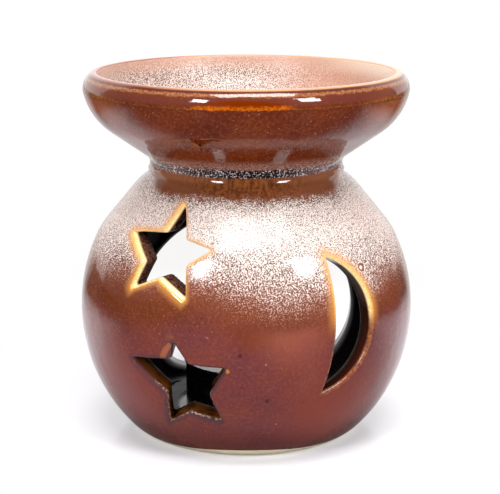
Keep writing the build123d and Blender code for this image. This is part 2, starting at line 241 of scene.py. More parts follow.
# The wall is sampled in columns round the globe, rows along the wall and layers through it, finer at
# the front where the cut-outs are. A row is (outer point, inner point), each as (radius, height).
columns = np.radians(np.concatenate((
    np.arange(-55, 52, 0.75), np.arange(52, 125, 2.5), np.arange(125, 235, 1.5), np.arange(235, 305, 2.5),
)))
layers = np.array((-0.6, 0.3, 0.8, 1.3, 1.9, 2.7, 3.6, 4.4, 5.2, 6.1)) / (BALL_RADIUS - BALL_INSIDE)
rows = [
    ((radius, 0), (radius, WELL_FLOOR if radius < WELL_RADIUS else FLOOR))
    for radius in (0, 6, 12, 17, 19.6, 20.5, 21.1, 22, 25, 28)
]
rows += [
    ((31, 0), (29, 5.3)), ((32.6, 0), (29.7, 5.5)), ((33.4, 0.1), (30.2, 5.7)),
    ((33.9, 0.6), (30.6, 5.9)), ((34.5, 1.1), (31, 6.1)),
]
for angle in np.radians(np.concatenate((np.arange(-44.5, -36, 1.0), np.arange(-36, 52.2, 0.75)))):
    # Up the ball a row points away from its middle, and its outer point is found on the skin by steps
    reach = BALL_RADIUS
    for _ in range(8):
        reach -= outer_skin(reach * cos(angle), BALL_CENTRE + reach * sin(angle))
    way = np.array((cos(angle), sin(angle)))
    rows.append((way * reach + (0, BALL_CENTRE), way * BALL_INSIDE + (0, BALL_CENTRE)))
rows += [
    ((30.6, 77.5), (26, 72.9)), ((30, 78.5), (24.6, 73.9)), ((29.5, 79.5), (23.3, 74.9)),
    ((29.1, 80.4), (22.5, 76.5)), ((28.9, 81), (22.5, 79)), ((28.8, 81.4), (22.5, 81.4)),
    ((28.8, 82.4), (22.5, 82.4)),
]
rows = np.array([np.concatenate(pair) for pair in rows])
section = rows[:, None, :2] + layers[None, :, None] * (rows[:, None, 2:] - rows[:, None, :2])
lattice = np.stack((
    np.sin(columns)[:, None, None] * section[None, ..., 0],
    -np.cos(columns)[:, None, None] * section[None, ..., 0],
    np.broadcast_to(section[None, ..., 1], (len(columns),) + section.shape[:2]),
), -1)
value = globe_field(lattice)


def cell_corner(array, column, row, layer):
    """What an array holds at one corner of every cell, each step being 0 or 1."""
    turned = np.roll(array, -column, axis=0)
    return turned[:, row:turned.shape[1] - 1 + row, layer:turned.shape[2] - 1 + layer]


# One point goes in each cell that the skin runs through, at the middle of where it cuts the cell's
# edges, and each lattice edge that the skin cuts gets a face between the four cells round it.
crossings = np.zeros(cell_corner(value, 0, 0, 0).shape)
middles = np.zeros(crossings.shape + (3,))
for start in np.ndindex(2, 2, 2):
    for axis in (0, 1, 2):
        if start[axis] == 0:
            end = tuple(1 if n == axis else start[n] for n in (0, 1, 2))
            here, there = cell_corner(value, *start), cell_corner(value, *end)
            cut = (here < 0) != (there < 0)
            share = np.where(cut, here / np.where(cut, here - there, 1), 0)[..., None]
            place = cell_corner(lattice, *start) * (1 - share) + cell_corner(lattice, *end) * share
            middles += np.where(cut[..., None], place, 0)
            crossings += cut
used = crossings > 0
number = np.full(used.shape, -1)
number[used] = np.arange(used.sum())
points = middles[used] / crossings[used][:, None]
at_axis = np.nonzero(used)[1] == 0
quads = []
for axis in (0, 1, 2):
    end = tuple(int(n == axis) for n in (0, 1, 2))
    stop = [n - e for n, e in zip(value.shape, end)]
    here = value[:, :stop[1], :stop[2]]
    there = np.roll(value, -end[0], axis=0)[:, end[1]:, end[2]:]
    cut = (here < 0) != (there < 0)
    column, row, layer = np.nonzero(cut)
    keep = np.ones(len(column), bool)
    keep &= (axis == 1) | ((row > 0) & (row < value.shape[1] - 1))
    keep &= (axis == 2) | ((layer > 0) & (layer < value.shape[2] - 1))
    column, row, layer = column[keep], row[keep], layer[keep]
    sides = [n for n in (0, 1, 2) if n != axis]
    ring = []
    for first, second in ((-1, -1), (0, -1), (0, 0), (-1, 0)):
        step = [0, 0, 0]
        step[sides[0]], step[sides[1]] = first, second
        ring.append(number[(column + step[0]) % len(columns), row + step[1], layer + step[2]])
    quads.append(np.stack(ring, -1))
quads = np.concatenate(quads)
for _ in range(4):
    slope = slope_of(globe_field, points)
    points -= (globe_field(points) / np.maximum((slope**2).sum(-1), 0.25))[:, None] * slope
points[at_axis, :2] = 0
corners = points[quads]
facing = np.cross(corners[:, 2] - corners[:, 0], corners[:, 3] - corners[:, 1])
wrong = (facing * slope_of(globe_field, corners.mean(1))).sum(-1) < 0
quads[wrong] = quads[wrong, ::-1]

globe_mesh = bpy.data.meshes.new("glazed_globe")
globe_mesh.from_pydata(points * MM, [], quads.tolist())
loose = bmesh.new()
loose.from_mesh(globe_mesh)
bmesh.ops.remove_doubles(loose, verts=loose.verts, dist=1e-7)
loose.to_mesh(globe_mesh)
loose.free()
globe_mesh.shade_smooth()
places = np.empty(3 * len(globe_mesh.vertices))
globe_mesh.vertices.foreach_get("co", places)
places = places.reshape(-1, 3) / MM
ways = slope_of(globe_field, places)
ways /= np.linalg.norm(ways, axis=-1, keepdims=True)
globe_mesh.normals_split_custom_set_from_vertices(ways.tolist())
# The glaze needs to know how far it is from a cut, how deep in it, and which of its sides it is on
way_off = slope_of(cuts, places)
side_turn = radians(20)
faces_right = way_off[:, 0] * cos(side_turn) + way_off[:, 1] * np.sign(places[:, 0]) * sin(side_turn)
for title, amount in (
    ("from_cut", np.clip(cuts(places), -5, 20)),
    ("faces_left", -faces_right),
    ("depth", -outer_skin(np.hypot(places[:, 0], places[:, 1]), places[:, 2])),
):
    globe_mesh.attributes.new(title, "FLOAT", "POINT").data.foreach_set("value", amount)


def linear(colour):
    """Turns an sRGB hex colour into the linear values that shaders take."""
    shares = [int(colour[n:n + 2], 16) / 255 for n in (1, 3, 5)]
    return [s / 12.92 if s <= 0.04045 else ((s + 0.055) / 1.055) ** 2.4 for s in shares] + [1.0]


def add(tree, kind, inputs=None, **settings):
    """Adds a node with its settings, and links or fills its inputs."""
    node = tree.nodes.new(kind)
    for key, setting in settings.items():
        setattr(node, key, setting)
    for key, source in (inputs or {}).items():
        if isinstance(source, bpy.types.NodeSocket):
            tree.links.new(source, node.inputs[key])
        else:
            node.inputs[key].default_value = source
    return node


def finish_of(name):
    """New material with its tree, its shader and its object coordinates in millimetres."""
    material = bpy.data.materials.new(name)
    material.use_nodes = True
    tree = material.node_tree
    shader = tree.nodes["Principled BSDF"]
    here = add(tree, "ShaderNodeTexCoord").outputs["Object"]
    in_mm = add(tree, "ShaderNodeVectorMath", {0: here, "Scale": 1 / MM}, operation="SCALE").outputs[0]
    return material, tree, shader, in_mm


def figure(tree, operation, a, b=0.0, clamp=False):
    """Result of a sum on one or two figures."""
    return add(tree, "ShaderNodeMath", {0: a, 1: b}, operation=operation, use_clamp=clamp).outputs[0]


def product(tree, first, *others):
    """Several shares multiplied."""
    for other in others:
        first = figure(tree, "MULTIPLY", first, other)
    return first


def ramp(tree, source, low, high, to_low=0.0, to_high=1.0):
    """Soft step from one level to another."""
    settings = {"Value": source, "From Min": low, "From Max": high, "To Min": to_low, "To Max": to_high}
    return add(tree, "ShaderNodeMapRange", settings, interpolation_type="SMOOTHSTEP").outputs["Result"]


def blend(tree, share, a, b):
    """Mixes two colours, each a hex colour or a socket."""
    node = add(tree, "ShaderNodeMix", {"Factor": share}, data_type="RGBA")
    for socket, source in ((node.inputs[6], a), (node.inputs[7], b)):
        if isinstance(source, str):
            socket.default_value = linear(source)
        else:
            tree.links.new(source, socket)
    return node.outputs[2]


def cover(tree, colour, tint, *shares):
    """Lays a tint over a colour as thickly as these shares multiplied say."""
    return blend(tree, product(tree, *shares), colour, tint)


def grain(tree, place, size, detail, roughness=0.5):
    """Noise whose lumps are about this many millimetres across."""
    inputs = {"Vector": place, "Scale": 1 / size, "Detail": detail, "Roughness": roughness}
    return add(tree, "ShaderNodeTexNoise", inputs).outputs["Fac"]


def scatter(tree, place, size):
    """Distance from the nearest of scattered points, in units of this many millimetres."""
    return add(tree, "ShaderNodeTexVoronoi", {"Vector": place, "Scale": 1 / size}).outputs["Distance"]


def near(tree, place, spot, radius, softness=0.3):
    """1 within this radius of a spot."""
    gap = add(tree, "ShaderNodeVectorMath", {0: place, 1: spot}, operation="DISTANCE").outputs["Value"]
    return ramp(tree, gap, radius + softness, radius)


def relief(tree, shader, pattern, strength, deep):
    """Bends the light on a surface by a pattern, which is this many millimetres deep."""
    bump = add(tree, "ShaderNodeBump", {"Height": pattern, "Strength": strength, "Distance": deep * MM})
    tree.links.new(bump.outputs[0], shader.inputs["Normal"])


def iron_glaze(tree, place, light, dark, specks):
    """Colour of bare iron glaze: clouds over centimetres, fine grain, iron freckles and pale specks."""
    body = blend(tree, ramp(tree, grain(tree, place, 14, 3), 0.35, 0.65), light, dark)
    body = cover(tree, body, "#b06a44", ramp(tree, grain(tree, place, 0.9, 3, 0.6), 0.4, 0.75), 0.14)
    body = cover(tree, body, "#3a1310", ramp(tree, grain(tree, place, 1.6, 1), 0.74, 0.78), 0.5)
    return cover(tree, body, "#c98b66", ramp(tree, grain(tree, place, 0.5, 0), 0.76, 0.82), specks)


SLIP_DOTS = 0.45  # the slip's pale dots lie about this far apart


def joint_slip(tree, place, aside):
    """Colour of the slip that joins dish and globe: dark with pale dots, and lighter round the sides as
    painted reflection.
    """
    # Painted reflection: the ground turns lavender-grey round the sides
    ground = blend(tree, ramp(tree, aside, 8, 24), "#150b0d", "#6d5550")
    return blend(tree, ramp(tree, scatter(tree, place, SLIP_DOTS), 0.58, 0.75), ground, "#cdbfbc")


# Glossy iron glaze on the globe, with a cream overspray that lies thick on the shoulder and thins out
# into single drops below. At cut edges the glaze is thin and amber, inside the cuts it is painted nearly
# black as shade, and the foot is bare cream clay.
SPRAY_FOOT, SPRAY_RISE = 40.5, 26.0  # where the spray ends below, and the height over which it thickens
SPRAY_DROPS, SPRAY_GAPS = 0.34, 0.52  # how far apart its drops lie, and the gaps in it
RUN_OFF_FROM, RUN_OFF_TO = 73.6, 79.0  # heights over which it has run off the neck
RUNS_FROM, RUNS_TO = 75.4, 80.2  # heights over which runs of bare glaze show there
SLIP_FROM = 80.1
CUTS_TURN = (37, 46)  # heights over which the cuts' edges change from plum to gold
globe_glaze, tree, shader, in_mm = finish_of("iron_glaze_with_cream_overspray")
split = add(tree, "ShaderNodeSeparateXYZ", {0: in_mm}).outputs
along, from_front, height = split["X"], split["Y"], split["Z"]
aside = figure(tree, "ABSOLUTE", along)
on_right = ramp(tree, along, 0, 10)
from_cut, depth, faces_left = [
    add(tree, "ShaderNodeAttribute", attribute_name=title).outputs["Fac"]
    for title in ("from_cut", "depth", "faces_left")
]
wander = product(tree, figure(tree, "SUBTRACT", grain(tree, in_mm, 22, 2), 0.5), 16)
lower_body = iron_glaze(tree, in_mm, "#6b312b", "#5f2c30", ramp(tree, height, 22, 46, 0.06, 0.3))
upper_body = iron_glaze(tree, in_mm, "#6c3119", "#5e2911", 0.3)
body = blend(tree, ramp(tree, figure(tree, "ADD", height, wander), 38, 47), lower_body, upper_body)
# Painted shade: the glaze is darkened towards the foot, where the ball meets the table
body = cover(tree, body, "#431a18", ramp(tree, height, 16, 5, 0.0, 0.5))

# The spray reaches less far down at the left and the far right, and has run off the steep neck. In front
# the bare band under the dish is wider and darker: partly run-off, partly a painted dark reflection of the
# dish's underside
sprayed = figure(tree, "ADD", height, product(tree, wander, 0.7))
thin_side = figure(tree, "MAXIMUM", ramp(tree, along, 0, -26, 0, 7), ramp(tree, along, 28, 46, 0, 3))
sprayed = figure(tree, "SUBTRACT", sprayed, product(tree, thin_side, ramp(tree, height, 68, 54)))
density = figure(tree, "DIVIDE", figure(tree, "SUBTRACT", sprayed, SPRAY_FOOT), SPRAY_RISE, clamp=True)
run_off = figure(tree, "ADD", height, product(tree, grain(tree, in_mm, 2.4, 3, 0.6), 4))
front_painted_reflection = ramp(tree, aside, 28, 25)
bald = ramp(tree, run_off, RUN_OFF_FROM, RUN_OFF_TO)
bald = product(tree, bald, ramp(tree, front_painted_reflection, 0, 1, 0.5, 1.0))
density = figure(tree, "SUBTRACT", density, product(tree, bald, 0.9), clamp=True)
fine, coarse = scatter(tree, in_mm, SPRAY_DROPS), scatter(tree, in_mm, SPRAY_GAPS)
level = figure(tree, "SUBTRACT", 0.665, product(tree, density, 0.41))
cream = figure(tree, "DIVIDE", figure(tree, "SUBTRACT", fine, level), 0.2, clamp=True)
cream = product(tree, cream, ramp(tree, coarse, 0.2, 0.36))
veil = ramp(tree, density, -0.12, 0.55)
thick_dust = blend(tree, ramp(tree, from_front, -34, -8), "#ecdbd2", "#e9cdc1")
dust = blend(tree, ramp(tree, density, 0.1, 0.5), "#a8725e", thick_dust)
gaps = blend(tree, ramp(tree, density, 0.25, 0.8), blend(tree, veil, body, "#74402e"), "#40251b")
colour = blend(tree, cream, gaps, blend(tree, veil, body, dust))
grit = ramp(tree, grain(tree, in_mm, 0.8, 3, 0.7), 0.38, 0.62)
drawn_down = add(tree, "ShaderNodeVectorMath", {0: in_mm, 1: (1, 1, 0.3)}, operation="MULTIPLY").outputs[0]
runs = blend(tree, ramp(tree, grain(tree, drawn_down, 0.9, 3, 0.6), 0.35, 0.65), "#552a13", "#8c5229")
runs = cover(tree, runs, "#8a5233", ramp(tree, aside, 6, 22))
# Painted reflection: the bare runs show only in front, where the glaze mirrors the dish's dark underside
colour = cover(tree, colour, runs, front_painted_reflection, ramp(tree, run_off, RUNS_FROM, RUNS_TO, 0.0, 0.9))
colour = cover(tree, colour, joint_slip(tree, in_mm, aside), ramp(tree, height, SLIP_FROM, SLIP_FROM + 0.7))

# Where the glaze drew back from the cuts: gold above, a dull plum line with gold grit below, and a painted
# cream glint along the lowest edges
ragged = figure(tree, "ADD", from_cut, product(tree, figure(tree, "SUBTRACT", fine, 0.55), 0.9))
left_width = ramp(tree, faces_left, -0.6, 0.4, 1.8, 1.0)
width = add(tree, "ShaderNodeMix", {0: ramp(tree, along, 0, 8), 2: left_width, 3: 0.95}).outputs[0]
ragged = product(tree, ragged, width)
outer = ramp(tree, depth, 1.9, 0.9)
high = ramp(tree, height, *CUTS_TURN)
for reach, full, share, tint in (
    (3.8, 0.6, 0.7, "#cf8c45"), (1.2, 0.7, 0.9, "#f2b75c"), (0.6, 0.1, 1.0, "#ffe6ae"),
):
    colour = cover(tree, colour, tint, ramp(tree, ragged, reach, full), outer, high, share)
colour = cover(tree, colour, "#4a3238", ramp(tree, ragged, 2.0, 0.9), ramp(tree, height, 44, 38), 0.75)
low_gold = product(tree, ramp(tree, ragged, 1.3, 0.8), ramp(tree, height, 47, 42), on_right)
colour = cover(tree, colour, "#a8642a", low_gold, grit, outer, 0.8)
# Painted glint: a thin cream line on the lowest edges, where they catch the light
low_painted_glint = product(tree, ramp(tree, ragged, 0.2, -0.1), ramp(tree, height, 26, 24))
colour = cover(tree, colour, "#cfb394", low_painted_glint, grit, outer)

# The walls of the cuts, painted darker deeper in as shade, and the chamber behind them, painted near-black
# as shade
chamber = product(tree, ramp(tree, depth, 3.3, 3.9), ramp(tree, from_cut, 0.3, 1.2))
wall = blend(tree, ramp(tree, grain(tree, in_mm, 4, 2), 0.36, 0.6), "#3a1808", "#66380e")
wall = cover(tree, wall, blend(tree, grit, "#2a1610", "#6b4636"), high)
wall = cover(tree, wall, "#34170f", on_right)
# Painted shade: the walls darken deeper into the cut, and the chamber is painted near-black
wall = cover(tree, wall, "#1c0c08", ramp(tree, depth, 2.5, 5.5, 0.0, 0.6))
wall = cover(tree, wall, "#0f0609", chamber)
in_cut = ramp(tree, depth, 0.8, 1.8)
colour = cover(tree, colour, wall, in_cut)

# Soft clouds of other browns, some rosier, at four spots of the bare glaze
on_skin = ramp(tree, in_cut, 1, 0, 0.0, 0.65)
for spot, reach, tint in (
    ((1.5, -49.6, 42), 8, "#6b2f10"), ((13, -48, 42), 14, "#8f4e39"),
    ((23.8, -38.6, 15.7), 22, "#7a382c"), ((-36.3, -31.2, 22.2), 18, "#7f4440"),
):
    cloud = near(tree, in_mm, spot, 1, reach)
    colour = cover(tree, colour, tint, cloud, on_skin, ramp(tree, density, 0.15, 0))

# Small marks of the firing: a burst bubble with a ring and a pale heart, a few dark and pale flecks, and
# thin glaze beside two points of the lower star. The bubble's ring is laid on twice, so it is strongest.
BUBBLE = (32.25, -32.96, 56.1)
for tint, marks in (
    ("#7d4630", ((BUBBLE, 1.1), (BUBBLE, 1.0))),
    ("#fffaf0", (((32.15, -33.05, 56.0), 0.4),)),
    ("#4a1d1a", (((-1.7, -49.95, 35.3), 0.45),)),
    ("#40201f", (((5.8, -47.2, 21.4), 0.5),)),
    ("#946a58", (((-10.7, -48.7, 40.05), 0.1), ((8.4, -43.3, 13.2), 0.1))),
    ("#a07868", (((5.4, -49.5, 32.6), 0.1),)),
    ("#b8742e", (((-5.2, -49.4, 30.6), 0.5),)),
    ("#93573a", (
        ((-23.2, -44.2, 33.4), 0.8), ((-22.8, -44.4, 34.3), 0.8), ((-22.4, -44.6, 35.2), 0.8),
        ((-21.9, -44.9, 36.0), 0.7), ((-21.4, -45.2, 36.8), 0.6),
    )),
):
    for spot, radius in marks:
        colour = cover(tree, colour, tint, near(tree, in_mm, spot, radius), 0.75)
glaze_edge = figure(tree, "SUBTRACT", height, ramp(tree, aside, 26, 2, 0.0, 1.5))
clay = ramp(tree, glaze_edge, FOOT_HEIGHT + 0.14, FOOT_HEIGHT - 0.02)
colour = cover(tree, colour, blend(tree, grain(tree, in_mm, 0.5, 3), "#d8cba8", "#f0e7cb"), clay)
tree.links.new(colour, shader.inputs["Base Color"])
inner_edge = product(tree, ramp(tree, from_cut, 1.6, 0.8), ramp(tree, depth, 3.6, 4.4), 0.5)
dull = figure(tree, "MAXIMUM", product(tree, density, 0.16), product(tree, clay, 0.8))
dull = figure(tree, "MAXIMUM", dull, inner_edge)
tree.links.new(figure(tree, "ADD", dull, 0.06), shader.inputs["Roughness"])
tree.links.new(ramp(tree, chamber, 0, 1, 0.5, 0.03), shader.inputs["Specular IOR Level"])
shader.inputs["IOR"].default_value = 1.5
relief(tree, shader, grain(tree, in_mm, 5, 2), 0.12, 1.0)
globe_mesh.materials.append(globe_glaze)

globe = bpy.data.objects.new("glazed_globe", globe_mesh)
bpy.context.collection.objects.link(globe)
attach(globe, "burner")
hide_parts("burner_globe")

# The oil dish: a flared stoneware bowl, cast by itself, luted to the neck with slip and glazed with the
# globe in one skin. The ridge under its rim is the line where the halves of its mould met.
DISH_PROFILE = (
    (0, 79.56, 0), (22.2, 79.56, 0.3), (22.2, 81.56, 0), (28.8, 81.56, 0), (29.31, 82.79, 4.6),
    (46.7, 95.05, 18.2), (48.08, 102.3, 0.35), (48.1, 105.72, 5.9), (45.2, 107.51, 1.0),
    (43.6, 107.51, 0.8), (41.8, 99.01, 20), (20.5, 85.06, 15), (0, 85.06, 0),
)
LIP = 107.5
RIDGE = 102.3
INSIDE_FROM = 67.0  # length along the profile from its start to where the bowl's inner face begins
BOWL_DROPS = 0.38
DRIFT_FROM, DRIFT_TO = 87.0, 83.6  # heights over which drifted spray thickens down to the foot
SLIP_TO = 83.4
# The amber zone in front is partly painted: there the rim mirrors the dark room
POOL_REFLECTION_MIDDLE, POOL_REFLECTION_TOP = -1.0, 105.2  # the amber pool in front: its place across, and how high it reaches
POOL_REFLECTION_HALF, POOL_REFLECTION_DROP = 13.0, 1.4  # this far from its middle, its top has dropped this much


def form_group(name, sockets):
    """New Geometry Nodes group with these inputs, given as title and kind, and what it is asked for."""
    group = bpy.data.node_groups.new(name, "GeometryNodeTree")
    for title, kind in sockets:
        group.interface.new_socket(name=title, in_out="INPUT", socket_type="NodeSocket" + kind)
    group.interface.new_socket(name="Geometry", in_out="OUTPUT", socket_type="NodeSocketGeometry")
    return group, add(group, "NodeGroupInput").outputs


def give_form(group, form, finish):
    """Ends a group: its form made real, smooth and of one material."""
    form = add(group, "GeometryNodeRealizeInstances", {"Geometry": form}).outputs[0]
    form = add(group, "GeometryNodeSetShadeSmooth", {"Geometry": form}).outputs[0]
    form = add(group, "GeometryNodeSetMaterial", {"Geometry": form, "Material": finish}).outputs[0]
    add(group, "NodeGroupOutput", {"Geometry": form})


FLUTE_START, FLUTE_END = 1.5, 1.0  # heights over which a flute fades in and out
turned_form, ask = form_group("turned_form", (
    ("Profile", "Object"), ("Corner steps", "Int"), ("Steps round", "Int"), ("Flutes", "Int"),
    ("Flute depth", "Float"), ("Flute foot", "Float"), ("Flute top", "Float"), ("Finish", "Material"),
))
drawn = add(turned_form, "GeometryNodeObjectInfo", {"Object": ask["Profile"]}).outputs["Geometry"]
corner_radius = add(turned_form, "GeometryNodeInputRadius").outputs[0]
rounding = {"Curve": drawn, "Count": ask["Corner steps"], "Radius": corner_radius, "Limit Radius": True}
rounded = add(turned_form, "GeometryNodeFilletCurve", rounding, mode="POLY").outputs[0]
curve_size = add(turned_form, "GeometryNodeAttributeDomainSize", {"Geometry": rounded}, component="CURVE")
stations = curve_size.outputs["Point Count"]
around = figure(turned_form, "ADD", ask["Steps round"], 1)
sheet = add(turned_form, "GeometryNodeMeshGrid", {"Vertices X": around, "Vertices Y": stations}).outputs[0]
index = add(turned_form, "GeometryNodeInputIndex").outputs[0]
station = figure(turned_form, "MODULO", index, stations)
turn = figure(turned_form, "FLOOR", figure(turned_form, "DIVIDE", index, stations))
angle = product(turned_form, figure(turned_form, "DIVIDE", turn, ask["Steps round"]), 2 * pi)
here = add(turned_form, "GeometryNodeInputPosition").outputs[0]
sample = {"Geometry": rounded, "Value": here, "Index": station}
station_place = add(turned_form, "GeometryNodeSampleIndex", sample, data_type="FLOAT_VECTOR").outputs[0]
sample["Value"] = add(turned_form, "GeometryNodeSplineParameter").outputs["Length"]
run = add(turned_form, "GeometryNodeSampleIndex", sample).outputs[0]
rise = add(turned_form, "ShaderNodeSeparateXYZ", {0: station_place}).outputs["Z"]
above_foot = figure(turned_form, "SUBTRACT", rise, ask["Flute foot"])
above_foot = ramp(turned_form, above_foot, 0, FLUTE_START * MM)
below_top = figure(turned_form, "SUBTRACT", ask["Flute top"], rise)
below_top = ramp(turned_form, below_top, 0, FLUTE_END * MM)
wave = figure(turned_form, "COSINE", product(turned_form, angle, ask["Flutes"]))
wave = product(turned_form, figure(turned_form, "SUBTRACT", wave, 1), 0.5)
press = product(turned_form, wave, ask["Flute depth"], above_foot, below_top)
press = add(turned_form, "ShaderNodeCombineXYZ", {"X": press}).outputs[0]
pressed = add(turned_form, "ShaderNodeVectorMath", {0: station_place, 1: press}, operation="ADD").outputs[0]
swing = {"Vector": pressed, "Angle": angle}
swung = add(turned_form, "ShaderNodeVectorRotate", swing, rotation_type="Z_AXIS").outputs[0]
form = add(turned_form, "GeometryNodeSetPosition", {"Geometry": sheet, "Position": swung}).outputs[0]
named = {"Geometry": form, "Name": "run", "Value": run}
form = add(turned_form, "GeometryNodeStoreNamedAttribute", named).outputs[0]
form = add(turned_form, "GeometryNodeMergeByDistance", {"Geometry": form, "Distance": 1e-6}).outputs[0]
give_form(turned_form, form, ask["Finish"])


def made_by(group, name, settings):
    """Object whose mesh is what a node group makes with these settings."""
    raw = bpy.data.objects.new(name + "_raw", bpy.data.meshes.new(name + "_raw"))
    bpy.context.collection.objects.link(raw)
    modifier = raw.modifiers.new(name, "NODES")
    modifier.node_group = group
    for item in group.interface.items_tree:
        if item.in_out == "INPUT":
            modifier[item.identifier] = settings[item.name]
    graph = bpy.context.evaluated_depsgraph_get()
    seen = raw.evaluated_get(graph)
    mesh = bpy.data.meshes.new_from_object(seen, preserve_all_data_layers=True, depsgraph=graph)
    bpy.data.objects.remove(raw)
    loose = bmesh.new()
    loose.from_mesh(mesh)
    bmesh.ops.recalc_face_normals(loose, faces=loose.faces)
    loose.to_mesh(mesh)
    loose.free()
    mesh.name = name
    made = bpy.data.objects.new(name, mesh)
    bpy.context.collection.objects.link(made)
    return made


def turned(name, profile, finish, steps_round, corner_steps, base=0.0, flutes=(0, 0.0, 0.0, 0.0)):
    """Turns a profile of (radius, height, corner radius) about the upright axis."""
    drawing = bpy.data.curves.new(name + "_profile", "CURVE")
    drawing.dimensions = "3D"
    spline = drawing.splines.new("POLY")
    spline.points.add(len(profile) - 1)
    for point, (radius, rise, corner) in zip(spline.points, profile):
        point.co = (radius * MM, 0, (rise + base) * MM, 1)
        point.radius = corner * MM
    holder = bpy.data.objects.new(name + "_profile", drawing)
    bpy.context.collection.objects.link(holder)
    count, flute_depth, foot, top = flutes
    made = made_by(turned_form, name, {
        "Profile": holder, "Corner steps": corner_steps, "Steps round": steps_round, "Finish": finish,
        "Flutes": count, "Flute depth": flute_depth * MM, "Flute foot": (foot + base) * MM,
        "Flute top": (top + base) * MM,
    })
    bpy.data.objects.remove(holder)
    return made


dish_glaze, tree, shader, in_mm = finish_of("iron_glaze_on_the_dish")
# The same iron glaze, pooled amber under the rim, whose front zone with its bowed top is painted dark
# reflection of the room, and gold where it broke over the mould's ridge and the edge, with the cream spray
# in the bowl and a little of it drifted onto the foot
split = add(tree, "ShaderNodeSeparateXYZ", {0: in_mm}).outputs
height = split["Z"]
run = figure(tree, "DIVIDE", add(tree, "ShaderNodeAttribute", attribute_name="run").outputs["Fac"], MM)
drops = scatter(tree, in_mm, BOWL_DROPS)
wobble = product(tree, figure(tree, "SUBTRACT", grain(tree, in_mm, 1.4, 3), 0.5), 1.2)
level = figure(tree, "ADD", height, wobble)
grit = ramp(tree, grain(tree, in_mm, 0.6, 2, 0.6), 0.42, 0.6)
off_middle = figure(tree, "ABSOLUTE", figure(tree, "SUBTRACT", split["X"], POOL_REFLECTION_MIDDLE))
middle = ramp(tree, off_middle, 16, 11)
flank = ramp(tree, off_middle, 30, 42)
colour = iron_glaze(tree, in_mm, "#5f2409", "#4f1807", 0.35)
colour = cover(tree, colour, "#9c5330", flank, ramp(tree, height, 94, 100, 0.0, 0.6))
colour = cover(tree, colour, "#633024", ramp(tree, height, RIDGE + 0.2, RIDGE + 1.4), 0.7)
# Painted reflection: an amber zone with a bowed top in front, where the rim mirrors the dark room
bow = product(tree, figure(tree, "POWER", figure(tree, "DIVIDE", off_middle, POOL_REFLECTION_HALF), 2), POOL_REFLECTION_DROP)
pool_reflection_top = ramp(tree, figure(tree, "ADD", level, bow), POOL_REFLECTION_TOP, POOL_REFLECTION_TOP - 0.5)
colour = cover(tree, colour, "#6a2503", middle, ramp(tree, level, RIDGE, RIDGE + 0.3), pool_reflection_top)
ridge_foot = figure(tree, "ADD", level, product(tree, flank, 0.6))
wide = figure(tree, "MAXIMUM", middle, product(tree, flank, 0.8))
ridge_top = figure(tree, "ADD", level, figure(tree, "SUBTRACT", 0.8, wide, clamp=True))
on_ridge = product(
    tree, ramp(tree, ridge_foot, RIDGE - 0.1, RIDGE + 0.1), ramp(tree, ridge_top, RIDGE + 1.5, RIDGE + 0.5)
)
gold = blend(tree, middle, "#995a26", "#c4650f")
gold = blend(tree, grit, blend(tree, middle, "#5c3412", "#8c3c06"), gold)
colour = cover(tree, colour, gold, on_ridge, 0.8)


def band(tree, source, foot, full_from, full_to, top):
    """1 between two soft limits."""
    return product(tree, ramp(tree, source, foot, full_from), ramp(tree, source, top, full_to))


under_ridge = band(tree, level, RIDGE - 0.5, RIDGE - 0.2, RIDGE, RIDGE + 0.2)
colour = cover(tree, colour, "#43200f", under_ridge, grit, 0.7)
edge_gold = blend(tree, grit, "#9a5c34", "#cf9058")
gold_edge = band(tree, level, LIP - 2.1, LIP - 1.5, LIP - 1.2, LIP - 0.8)
colour = cover(tree, colour, edge_gold, gold_edge, 0.45)
dark_edge = band(tree, height, LIP - 1.1, LIP - 0.85, LIP - 0.7, LIP - 0.45)
colour = cover(tree, colour, "#50261f", dark_edge, 0.75)
inside = ramp(tree, run, INSIDE_FROM, INSIDE_FROM + 0.6)
cream = figure(tree, "DIVIDE", figure(tree, "SUBTRACT", drops, 0.4), 0.14, clamp=True)
bowl = blend(tree, cream, "#4a2720", "#cbb6ab")
bowl = cover(tree, bowl, "#c08a72", ramp(tree, split["X"], -6, 34), 0.75)
# Near the lip the bowl turns lighter, and cream-white towards the right as a painted highlight
rim_tint_and_highlight = blend(tree, ramp(tree, split["X"], 18, 44), "#c79b86", "#fff0dc")
bowl = cover(tree, bowl, rim_tint_and_highlight, ramp(tree, height, LIP - 6, LIP - 0.5, 0.0, 0.75))
colour = cover(tree, colour, bowl, inside)
lip_colour = blend(tree, ramp(tree, split["X"], -32, -8), "#9a5f4a", "#cd946c")
colour = cover(tree, colour, lip_colour, ramp(tree, height, LIP - 0.5, LIP - 0.15))
drift = product(tree, ramp(tree, height, DRIFT_FROM, DRIFT_TO), ramp(tree, drops, 0.35, 0.6))
colour = cover(tree, colour, "#a98477", drift, 0.8)
colour = cover(tree, colour, joint_slip(tree, in_mm, off_middle), ramp(tree, level, SLIP_TO, SLIP_TO - 0.7))
tree.links.new(colour, shader.inputs["Base Color"])
tree.links.new(ramp(tree, inside, 0, 1, 0.06, 0.4), shader.inputs["Roughness"])
tree.links.new(ramp(tree, height, 86, 92, 0.25, 0.5), shader.inputs["Specular IOR Level"])
shader.inputs["IOR"].default_value = 1.5
relief(tree, shader, grain(tree, in_mm, 5, 2), 0.12, 1.0)

dish = turned("glazed_dish", DISH_PROFILE, dish_glaze, steps_round=240, corner_steps=12)
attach(dish, "burner")
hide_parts("oil_dish")

